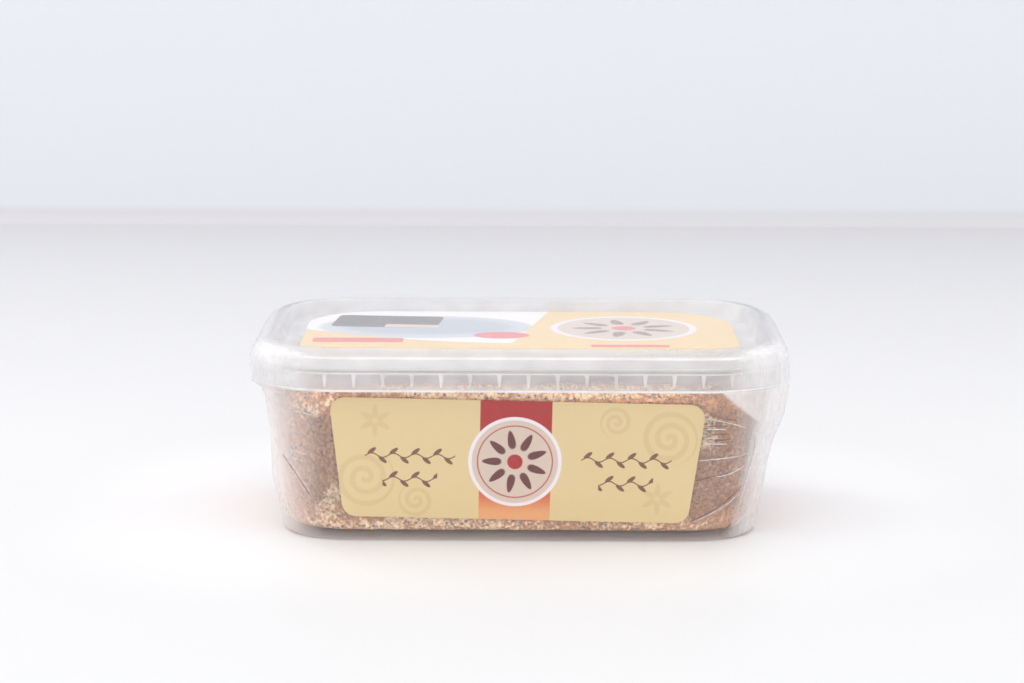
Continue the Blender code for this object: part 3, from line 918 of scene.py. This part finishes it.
def side_print(name, facing, ink):
    """The print of a side label: a cream ground, a red band with a badge, vines and pale scrolls."""
    graph = Graph(name)
    spot = graph.millimetres()
    x, _, z = graph.axes(spot)
    flat, rise = x * facing - LABEL_CENTRE[0] * facing, z - LABEL_CENTRE[1]
    across, up = turned(flat, rise, (0.0, 0.0), -LABEL_TURN * facing)
    mottle = graph.grain(spot, 0.16, 3.0, 0.6)
    vines = graph.larger(*(vine(graph, across, up, centre, half) for centre, half in VINES))
    ground = graph.coats(rgba(ink.cream), (
        (ink.ornament, mottle * 0.18),
        (ink.ornament, tone_ornament(graph, across, up) * 0.55),
        (ink.maroon, vines * 0.9),
    ))
    low, middle, high = BAND_STOPS
    band = graph.coats(rgba(ink.peach), (
        (ink.flame, graph.rise(up, low, middle)), (ink.crimson, graph.rise(up, middle, high)),
    ))
    ground = graph.paint(ground, band, graph.within(abs(across - BAND_MIDDLE), BAND_HALF, PRINT_EDGE))
    badge, reach = disc(graph, across, up, BADGE_CENTRE, BADGE_RADIUS)
    ground = graph.coats(ground, (
        (ink.ring, badge),
        (ink.badge, graph.within(reach, BADGE_RADIUS - RING_WIDTH, PRINT_EDGE)),
        (ink.maroon, rosette(
            graph, across, up, BADGE_CENTRE, SEED_COUNT, SEED_MIDDLE, SEED_LENGTH, SEED_WIDTH)),
        (ink.crimson, graph.within(reach, HUB_RADIUS, PRINT_EDGE)),
        (ink.crimson, graph.within(abs(reach - THREAD_RADIUS), FINE_LINE, PRINT_EDGE) * 0.8),
    ))
    return printed(graph, ground, mottle)


def printed(graph, ground, mottle):
    """Finishes a print as smooth coated paper."""
    gloss = {
        "Base Color": ground,
        "Roughness": mottle * 0.1 + 0.33,
        "Specular IOR Level": 0.4,
        "Normal": graph.bump(mottle, 0.04 * MM, 0.4),
    }
    return graph.surface(graph.node("BsdfPrincipled", None, gloss))


class HALVATUB_OT_side_labels(bpy.types.Operator):
    """Prints the labels on the two long sides"""

    bl_idname = "halvatub.side_labels"
    bl_label = "Side Labels"

    def execute(self, context):
        ink = context.scene.print_settings
        for node, facing in (("front_label", 1.0), ("back_label", -1.0)):
            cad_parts[node].material_slots[0].material = side_print(f"{node}_print", facing, ink)
        return {"FINISHED"}


# Top label

TOP_BADGE, TOP_BADGE_RADIUS, TOP_RING_WIDTH, TOP_HUB_RADIUS = (34.0, 12.5), 24.0, 2.4, 4.0
TOP_EDGE = 0.3
SLAB_TURN = -0.1


def top_print(ink):
    """The print of the top label: yellow fields, a pale plate with a dark bar, and a round badge."""
    graph = Graph("top_label_print")
    spot = graph.millimetres()
    across, up, _ = graph.axes(spot)
    mottle = graph.grain(spot, 0.12, 3.0, 0.6)
    sweep = (across / 70.0) ** 2 * 26.0 - 17.0
    front = graph.within(up - sweep, 0.0, 0.4) * graph.within(across, 6.0, TOP_EDGE)
    right = graph.rise(across - up * 0.19 - 0.8, -TOP_EDGE, TOP_EDGE)
    badge, reach = disc(graph, across, up, TOP_BADGE, TOP_BADGE_RADIUS, TOP_EDGE)
    seeds = rosette(graph, across, up, TOP_BADGE, SEED_COUNT, 12.0, 5.0, 1.9)
    ground = graph.coats(rgba(ink.paper), (
        (ink.plate, mottle * 0.12),
        (ink.plate, oval(graph, across, up, (-31.0, 14.0), (35.0, 22.0), 0.8) * 0.55),
        (ink.plate, oval(graph, across, up, (-31.0, 15.0), (28.0, 16.0), 1.6) * 0.55),
        (ink.sun, graph.larger(front, right) * (1.0 - mottle * 0.25)),
        (ink.slab, bar(graph, across, up, (-44.0, 24.5), (17.5, 11.5), SLAB_TURN, 2.0)),
        (ink.badge, bar(graph, across, up, (-35.5, 15.5), (9.0, 3.0), SLAB_TURN, 1.2)),
        (ink.coral, bar(graph, across, up, (-52.0, -12.0), (14.5, 4.2), 0.0, 1.2)),
        (ink.coral, oval(graph, across, up, (-6.0, -2.0), (9.0, 6.5), 0.4)),
        (ink.ring, badge),
        (ink.badge, graph.within(reach, TOP_BADGE_RADIUS - TOP_RING_WIDTH, TOP_EDGE)),
        (ink.maroon, seeds * 0.85),
        (ink.coral, graph.within(reach, TOP_HUB_RADIUS, TOP_EDGE)),
        (ink.coral, bar(graph, across, up, (35.0, -21.5), (12.5, 2.2), 0.0, 1.0)),
    ))
    return printed(graph, ground, mottle)


class HALVATUB_OT_top_label(bpy.types.Operator):
    """Prints the label in the lid"""

    bl_idname = "halvatub.top_label"
    bl_label = "Top Label"

    def execute(self, context):
        material = top_print(context.scene.print_settings)
        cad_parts["top_label"].material_slots[0].material = material
        return {"FINISHED"}


# Film

FILM_LOW, FILM_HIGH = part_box("film_wrap")
FILM_MESH = merged_copy("film_wrap", "film_guide")
FILM_SURFACE = surface_of(FILM_MESH)
OUTSIDE = 5.0 * MM
FILM_RADIUS = 27.0 * MM
FILM_EDGE_TOP, FILM_START_LIFT = 0.35 * MM, 0.02 * MM
FILM_TOP_RINGS = 26
FILM_TINT = (0.995, 0.995, 0.995)

# The fold down the right end and the one under the rim: a place on each in millimetres, and its lean
END_FOLD, END_FOLD_LEAN = 66.2, 0.24
RIM_FOLD, RIM_FOLD_LEAN = (66.0, 45.0), 1.085
FILM_MIDDLE, SKIRT_LINE = -1.0, 49.8


def wrinkle_share(place):
    """How wrinkled the film is at a place, from 0 on its taut faces to 1 at the ends."""
    ends = smooth_rise(abs(place.x), 58 * MM, 78 * MM)
    low = 1.0 - smooth_rise(place.z, 57 * MM, 61.5 * MM)
    return (0.06 + 0.94 * ends) * low


def wrinkle_height(place):
    """Height of the film's wrinkles: long upright folds that break up near the shoulder."""
    folds = Vector((place.x * 330, place.y * 330, place.z * 60))
    bend = noise.noise(place * 70) * 1.6
    long_folds = 1.0 - abs(noise.noise(folds + Vector((bend, bend, 0)))) * 2.6
    crinkle = 1.0 - abs(noise.noise(place * 420)) * 2.4
    near_rim = smooth_rise(place.z, 40 * MM, 56 * MM)
    return max(0.0, long_folds) * (1.0 - 0.6 * near_rim) + max(0.0, crinkle) * (0.25 + 0.5 * near_rim)


def film_rows(film):
    """Rings of points on the solid film's outside, with wrinkles."""
    half_x, half_y, radius = FILM_HIGH.x + OUTSIDE, FILM_HIGH.y + OUTSIDE, FILM_RADIUS + OUTSIDE
    ring = rounded_ring(half_x, half_y, radius, ring_counts(half_x, half_y, radius, film.mesh_step))
    tall = FILM_HIGH.z - FILM_EDGE_TOP - FILM_LOW.z
    levels = round(tall / film.mesh_step)
    rows = []
    for level in range(levels + 1):
        height = FILM_LOW.z + FILM_START_LIFT + tall * level / levels
        row = []
        for hit, (_, outward) in zip(cast_ring(FILM_SURFACE, ring, height, -1, film.easing), ring):
            lift = film.wrinkle * wrinkle_height(hit) * wrinkle_share(hit)
            row.append(hit - outward.to_3d() * (0.5 * film.wrinkle * wrinkle_share(hit) - lift * 0.9))
        rows.append(row)
    rim = rows[-1]
    for level in range(1, FILM_TOP_RINGS):
        shrink = (1.0 - level / FILM_TOP_RINGS) ** 0.8
        ease = min(1.0, level / 2)
        rows.append([Vector((p.x * shrink, p.y * shrink, p.z + (FILM_HIGH.z - p.z) * ease)) for p in rim])
    return rows


def gathered_film(graph, x, y, z):
    """Where the film is gathered: at both ends, round the rim and along the folds at the right; round the
    rim and along the skirt's edge this milkiness is partly painted highlight.
    """
    high = graph.rise(z, 14.0, 32.0)
    beyond_fold = x - (z * END_FOLD_LEAN + END_FOLD)
    right = graph.rise(beyond_fold, -3.4, 1.4) * (high * 0.22 + 0.24)
    right = right + graph.rise(beyond_fold, 1.0, 5.0) * 0.15
    right = right + graph.slope(x, 65.0, 73.0) * (high * 0.2 + 0.1)
    below_rim = graph.rise(z, 36.0, 40.0) * graph.rise(z, 50.5, 49.0)
    under_rim = graph.rise(x - RIM_FOLD[0] + (z - RIM_FOLD[1]) * RIM_FOLD_LEAN, -0.5, 2.0) * 0.6 * below_rim
    towards_left = graph.slope(x * -1.0, 60.5, 77.5)
    left = towards_left * 0.36 + towards_left**3 * 0.33
    from_middle = abs(x - FILM_MIDDLE)
    # Round the rim at the ends the film is gathered, and its milkiness there is partly a painted highlight
    rim = graph.rise(from_middle, 64.0, 76.0) * graph.rise(z, 49.0, 50.5) * 0.62
    # Painted highlight: a bright line along the skirt's lower edge at the ends
    edge = graph.within(abs(z - SKIRT_LINE), 0.25, 0.2) * graph.rise(from_middle, 60.0, 66.0) * 0.8
    below_top = graph.rise(z, 61.9, 60.5)
    taut = graph.rise(abs(y), 44.0, 22.0) * 0.75
    return graph.larger(right, under_rim, left, rim, edge) * below_top * (1.0 - taut)


def film_material(film, plastic):
    """Clear film that turns milky and streaky towards its gathered ends."""
    graph = Graph("stretched_film")
    spot = graph.millimetres()
    x, y, z = graph.axes(spot)
    streaks = graph.grain(graph.place((420.0, 420.0, 75.0)), 1.0, 2.0, 0.6)
    crinkle = graph.grain(spot, 0.30, 2.0, 0.6)
    veil = graph.rise(streaks, 0.3, 0.7) * 0.18 + graph.rise(crinkle, 0.35, 0.65) * 0.12 + 0.84
    bands = graph.grain(graph.place((25.0, 25.0, 900.0)), 1.0, 1.0)
    # The shoulder's bands fade to the right: painted light from the left
    bands = (graph.rise(bands, 0.3, 0.7) * 0.35 + 0.65) * (graph.slope(x, 0.0, 60.0) * -0.4 + 1.0)
    shoulder = graph.rise(z, 54.0, 55.5) * graph.rise(z, 62.1, 61.4) * bands
    haze = gathered_film(graph, x, y, z) * veil * film.fold_haze
    haze = haze + shoulder * film.shoulder_haze + film.haze
    ripple = graph.bump(graph.grain(spot, 0.5, 1.0), 0.12 * MM, 0.35)
    return clear_material(graph, haze, film.milk, FILM_TINT, plastic.mirror, ripple, 0.5)


class HALVATUB_OT_film(bpy.types.Operator):
    """Stretches the clear film over the tub, with wrinkles at its ends"""

    bl_idname = "halvatub.film"
    bl_label = "Film"

    def execute(self, context):
        film = context.scene.film_settings
        sheet = added("film_sheet", loft(film_rows(film), "film"))
        wall = sheet.modifiers.new("thickness", "SOLIDIFY")
        wall.thickness = film.thickness
        wall.offset = -1.0
        solid = applied(sheet, "film")
        solid.shade_smooth()
        material = film_material(film, context.scene.plastic_settings)
        piece_from(solid, "film", material, "film_wrap")
        return {"FINISHED"}


# Creases pinched into the film: milky ridges partly whitened as painted highlight, and dark ridges of
# painted shade

# Each crease is a run of places (across, up) in millimetres on the front
# Bright creases: milky ridges whose whiteness is partly a painted highlight
BRIGHT_CREASES = (
    ((-78.1, 30.8), (-75.2, 28.4), (-71.6, 24.4), (-68.7, 20.8), (-65.5, 15.9)),
    ((-77.1, 38.4), (-72.6, 40.6), (-69.1, 42.0), (-65.9, 41.1), (-62.6, 40.3)),
    ((-71.6, 28.3), (-68.5, 28.1), (-66.1, 27.6)),
    ((-70.8, 25.8), (-69.0, 25.9), (-67.4, 25.5)),
    ((57.2, 41.1), (64.4, 39.9), (70.6, 37.0)),
    ((57.0, 37.4), (60.5, 37.8), (64.2, 37.2)),
    ((57.4, 34.5), (60.0, 34.9), (62.3, 34.2)),
    ((56.4, 32.6), (60.5, 32.6), (64.7, 32.3)),
    ((55.4, 27.0), (60.0, 27.5), (64.9, 27.1), (72.4, 28.4)),
    ((60.7, 21.6), (63.5, 21.4), (66.0, 22.0), (70.2, 24.4)),
    ((53.5, 6.4), (58.0, 8.4), (63.0, 11.0), (66.3, 13.0), (69.1, 15.8)),
    ((71.4, 40.3), (74.3, 33.6), (72.6, 26.0), (70.2, 17.0), (68.5, 9.4)),
    ((66.6, 4.1), (69.5, 5.8), (72.0, 8.1), (74.6, 12.0)),
)
# Dark creases: ridges of painted shade in the halva's dark brown
PAINTED_SHADE_CREASES = (
    ((-74.2, 26.4), (-71.2, 23.2), (-68.0, 18.9), (-65.2, 14.6)),
    ((57.2, 38.4), (60.5, 38.7), (64.1, 38.5)),
    ((59.0, 42.0), (62.5, 41.0), (67.0, 40.0)),
    ((58.6, 35.7), (62.0, 36.1), (65.0, 35.5)),
    ((59.4, 33.8), (62.3, 33.6), (65.2, 34.0)),
    ((54.4, 20.4), (57.5, 21.0), (61.1, 22.0)),
    ((53.5, 7.0), (58.0, 9.0), (63.0, 11.7), (66.8, 15.0), (69.4, 17.6)),
    ((62.5, 2.0), (64.6, 3.4), (66.5, 5.4)),
)
CREASE_SIDES = 6
CREASE_STEP = 0.6 * MM
CREASE_LIFT = 0.05 * MM
CREASE_WIDTH, SHADE_WIDTH = 1.0, 1.2
CREASE_HAZE, CREASE_MIRROR = 0.8, 0.05
AWAY = 120.0 * MM


def crease_tree(material):
    """Turns each line into a thin ridge that tapers to its ends."""
    bench = NodeBench("film_creases")
    bench.ask("Radius", "NodeSocketFloat", 0.15 * MM)
    bench.ask("Step", "NodeSocketFloat", CREASE_STEP)
    given = bench.start().outputs
    sockets = {"Curve": given["Geometry"], "Length": given["Step"]}
    fine = bench.node("GeometryNodeResampleCurve", {"mode": "LENGTH"}, sockets)
    share = bench.node("GeometryNodeSplineParameter").outputs["Factor"]
    swell = bench.math("POWER", bench.math("SINE", bench.math("MULTIPLY", share, math.pi)), 0.5)
    radius = bench.math("MULTIPLY", bench.math("ADD", swell, 0.15), given["Radius"])
    sockets = {"Resolution": CREASE_SIDES, "Radius": 1.0}
    section = bench.node("GeometryNodeCurvePrimitiveCircle", None, sockets).outputs[0]
    sockets = {"Curve": fine.outputs[0], "Profile Curve": section, "Scale": radius, "Fill Caps": True}
    ridge = bench.node("GeometryNodeCurveToMesh", None, sockets)
    bench.finish(ridge.outputs[0], material)
    return bench


def crease_curve(runs, name, surface):
    """Smooth lines through places on the front of the film."""
    data = bpy.data.curves.new(name, "CURVE")
    data.dimensions = "3D"
    for run in runs:
        spline = data.splines.new("NURBS")
        spline.points.add(len(run) - 1)
        spline.order_u = min(4, len(run))
        spline.use_endpoint_u = True
        for point, (across, up) in zip(spline.points, run):
            start = Vector((across * MM, -AWAY, up * MM))
            hit = surface.ray_cast(start, Vector((0, 1, 0)))[0]
            point.co = (hit.x, hit.y - CREASE_LIFT, hit.z, 1.0)
    return added(name, data)


def crease_material(name, colour, tint):
    graph = Graph(name)
    broken = graph.rise(graph.grain(graph.millimetres(), 0.8, 3.0, 0.6), 0.3, 0.6) * 0.5 + 0.5
    return clear_material(graph, broken * CREASE_HAZE, colour, tint, CREASE_MIRROR)


class HALVATUB_OT_creases(bpy.types.Operator):
    """Pinches creases into the film: milky ridges, partly a painted highlight, and dark ridges of painted
    shade
    """

    bl_idname = "halvatub.creases"
    bl_label = "Creases"

    def execute(self, context):
        film = context.scene.film_settings
        surface = surface_of(bpy.data.objects["film"].data)
        milk = context.scene.plastic_settings.milk
        # The dark creases are a painted shade in the halva's dark brown
        painted_shade = context.scene.halva_settings.cocoa_dark
        kinds = (
            ("film_creases", BRIGHT_CREASES, crease_material("film_creases", milk, milk), CREASE_WIDTH),
            ("film_crease_painted_shade", PAINTED_SHADE_CREASES, crease_material("film_painted_shade", painted_shade, milk), SHADE_WIDTH),
        )
        for name, runs, material, width in kinds:
            values = {"Radius": film.crease_radius * width, "Step": CREASE_STEP}
            mesh = crease_tree(material).apply(crease_curve(runs, name, surface), values, name)
            mesh.shade_smooth()
            piece_from(mesh, name, material)
        return {"FINISHED"}


# Stage: table, wall, light and camera

FLOOR_HALF_WIDTH, FLOOR_FRONT = 2.2, -1.6
SWEEP_START, SWEEP_RADIUS, SWEEP_STEPS = 0.700, 0.007, 16
WALL_HEIGHT = 1.6
FAR_START, FOLD_WIDTH = 0.10, 0.08
# Painted light: size and soft edge of the paler patch round the tub
PAINTED_LIGHT_HALVES, PAINTED_LIGHT_REACH = (0.060, 0.030), (0.110, 0.020)
WALL_PAINT = (0.001, 0.012)
SKY_COLOUR = (1.0, 0.993, 0.99)
LIGHT_AIM = (0.0, 0.0, 0.04)
# Each light: name, place, size, share of its power, colour, and whether it shows in reflections
LIGHTS = (
    ("window", (-0.70, 0.60, 0.80), (0.27, 0.90), 1.0, (1.0, 0.99, 0.98), True),
    ("strip", (0.62, 0.62, 0.80), (0.12, 0.42), 0.25, (1.0, 1.0, 1.0), True),
    ("broad", (-0.15, -0.45, 1.25), (1.8, 1.4), 1.0, (1.0, 0.995, 0.99), False),
)
CAMERA_LENS, CAMERA_SENSOR, CAMERA_CLIP = 105.47, 36.0, 0.02
CAMERA_PLACE = (0.0009, -0.9597, 0.2203)
# Yaw, pitch and roll, each with the axis that it turns about
CAMERA_TURNS = ((0.21, "Z"), (80.25, "X"), (0.19, "Z"))
CLEAR_BOUNCES, LIGHT_BOUNCES = 48, 10


def stage_profile():
    """The stage's side view: flat table, round sweep and upright wall."""
    profile = [(FLOOR_FRONT, 0.0), (0.0, 0.0)]
    for step in range(SWEEP_STEPS + 1):
        turn = math.pi / 2 * step / SWEEP_STEPS
        profile.append(
            (SWEEP_START + SWEEP_RADIUS * math.sin(turn), SWEEP_RADIUS * (1.0 - math.cos(turn)))
        )
    profile.append((SWEEP_START + SWEEP_RADIUS, WALL_HEIGHT))
    return profile


def stage_material(stage):
    """Pale table with painted shade towards its far part and the fold, painted light round the tub, and a
    pale blue-grey wall.
    """
    graph = Graph("pale_stage")
    spot = graph.place()
    x, y, z = graph.axes(spot)
    past_x = graph.larger(abs(x) - PAINTED_LIGHT_HALVES[0], 0.0)
    past_y = graph.larger(abs(y) - PAINTED_LIGHT_HALVES[1], 0.0)
    colour = graph.coats(rgba(stage.floor), (
        # Painted shade towards the far part and the fold, painted light close to the tub
        (stage.far_floor_shade, graph.slope(y, FAR_START, SWEEP_START)),
        (stage.fold, graph.rise(y, SWEEP_START - FOLD_WIDTH, SWEEP_START)),
        (stage.beside, graph.rise(graph.distance(past_x, past_y), *PAINTED_LIGHT_REACH)),
        (stage.wall, graph.rise(z, *WALL_PAINT)),
    ))
    mottle = graph.grain(spot, 40.0, 2.0)
    sockets = {"Base Color": colour, "Roughness": mottle * 0.1 + 0.5, "Specular IOR Level": 0.25}
    return graph.surface(graph.node("BsdfPrincipled", None, sockets))


def add_light(name, place, size, power, colour, mirrored):
    """A soft rectangular light that looks at the tub."""
    data = bpy.data.lights.new(name, "AREA")
    data.shape = "RECTANGLE"
    data.size, data.size_y = size
    data.energy = power
    data.color = colour
    light = added(name, data)
    light.location = place
    light.rotation_euler = (Vector(LIGHT_AIM) - Vector(place)).to_track_quat("-Z", "Y").to_euler()
    light.visible_camera = False
    light.visible_glossy = mirrored


def add_camera():
    data = bpy.data.cameras.new("camera")
    data.lens = CAMERA_LENS
    data.sensor_width = CAMERA_SENSOR
    data.clip_start = CAMERA_CLIP
    camera = added("camera", data)
    place = Matrix.Translation(CAMERA_PLACE)
    for degrees, axis in CAMERA_TURNS:
        place = place @ Matrix.Rotation(math.radians(degrees), 4, axis)
    camera.matrix_world = place
    bpy.context.scene.camera = camera


class HALVATUB_OT_stage(bpy.types.Operator):
    """Sets the pale table and wall, the soft light and the camera"""

    bl_idname = "halvatub.stage"
    bl_label = "Stage"

    def execute(self, context):
        scene = context.scene
        stage = scene.stage_settings
        profile = stage_profile()
        verts = [(side * FLOOR_HALF_WIDTH, y, z) for side in (-1, 1) for y, z in profile]
        count = len(profile)
        faces = [(i, count + i, count + i + 1, i + 1) for i in range(count - 1)]
        mesh = bpy.data.meshes.new("stage")
        mesh.from_pydata(verts, [], faces)
        mesh.materials.append(stage_material(stage))
        mesh.shade_smooth()
        added("stage", mesh)
        world = bpy.data.worlds.new("even_light")
        world.use_nodes = True
        sky = world.node_tree.nodes["Background"]
        sky.inputs["Color"].default_value = rgba(SKY_COLOUR)
        sky.inputs["Strength"].default_value = stage.sky
        scene.world = world
        power = {"window": stage.window, "strip": stage.window, "broad": stage.key}
        for name, place, size, share, colour, mirrored in LIGHTS:
            add_light(name, place, size, power[name] * share, colour, mirrored)
        add_camera()
        scene.view_settings.view_transform = "Standard"
        scene.cycles.transparent_max_bounces = CLEAR_BOUNCES
        scene.cycles.max_bounces = LIGHT_BOUNCES
        return {"FINISHED"}


# The panel and the run

STEPS = (
    ("stage", "stage_settings"),
    ("halva", "halva_settings"),
    ("crumbs", "halva_settings"),
    ("plastics", "plastic_settings"),
    ("side_labels", "print_settings"),
    ("top_label", "print_settings"),
    ("film", "film_settings"),
    ("creases", "film_settings"),
)


class HALVATUB_PT_panel(bpy.types.Panel):
    """Lists the pieces of the tub and what can be changed"""

    bl_label = "Halva Tub"
    bl_space_type = "VIEW_3D"
    bl_region_type = "UI"
    bl_category = "Halva Tub"

    def draw(self, context):
        shown = set()
        for step, group in STEPS:
            self.layout.operator(f"halvatub.{step}")
            if group not in shown:
                shown.add(group)
                values = getattr(context.scene, group)
                for name in values.__annotations__:
                    self.layout.prop(values, name, text=name.replace("_", " ").title())


GROUPS = {
    "halva_settings": HalvaSettings,
    "print_settings": PrintSettings,
    "plastic_settings": PlasticSettings,
    "film_settings": FilmSettings,
    "stage_settings": StageSettings,
}
CLASSES = (
    *GROUPS.values(),
    HALVATUB_OT_stage,
    HALVATUB_OT_halva,
    HALVATUB_OT_crumbs,
    HALVATUB_OT_plastics,
    HALVATUB_OT_side_labels,
    HALVATUB_OT_top_label,
    HALVATUB_OT_film,
    HALVATUB_OT_creases,
    HALVATUB_PT_panel,
)


def register():
    for kind in CLASSES:
        bpy.utils.register_class(kind)
    for name, group in GROUPS.items():
        setattr(bpy.types.Scene, name, PointerProperty(type=group))


def unregister():
    for name in GROUPS:
        delattr(bpy.types.Scene, name)
    for kind in reversed(CLASSES):
        bpy.utils.unregister_class(kind)


def main():
    register()
    for step, _ in STEPS:
        getattr(bpy.ops.halvatub, step)()


if __name__ == "__main__":
    main()
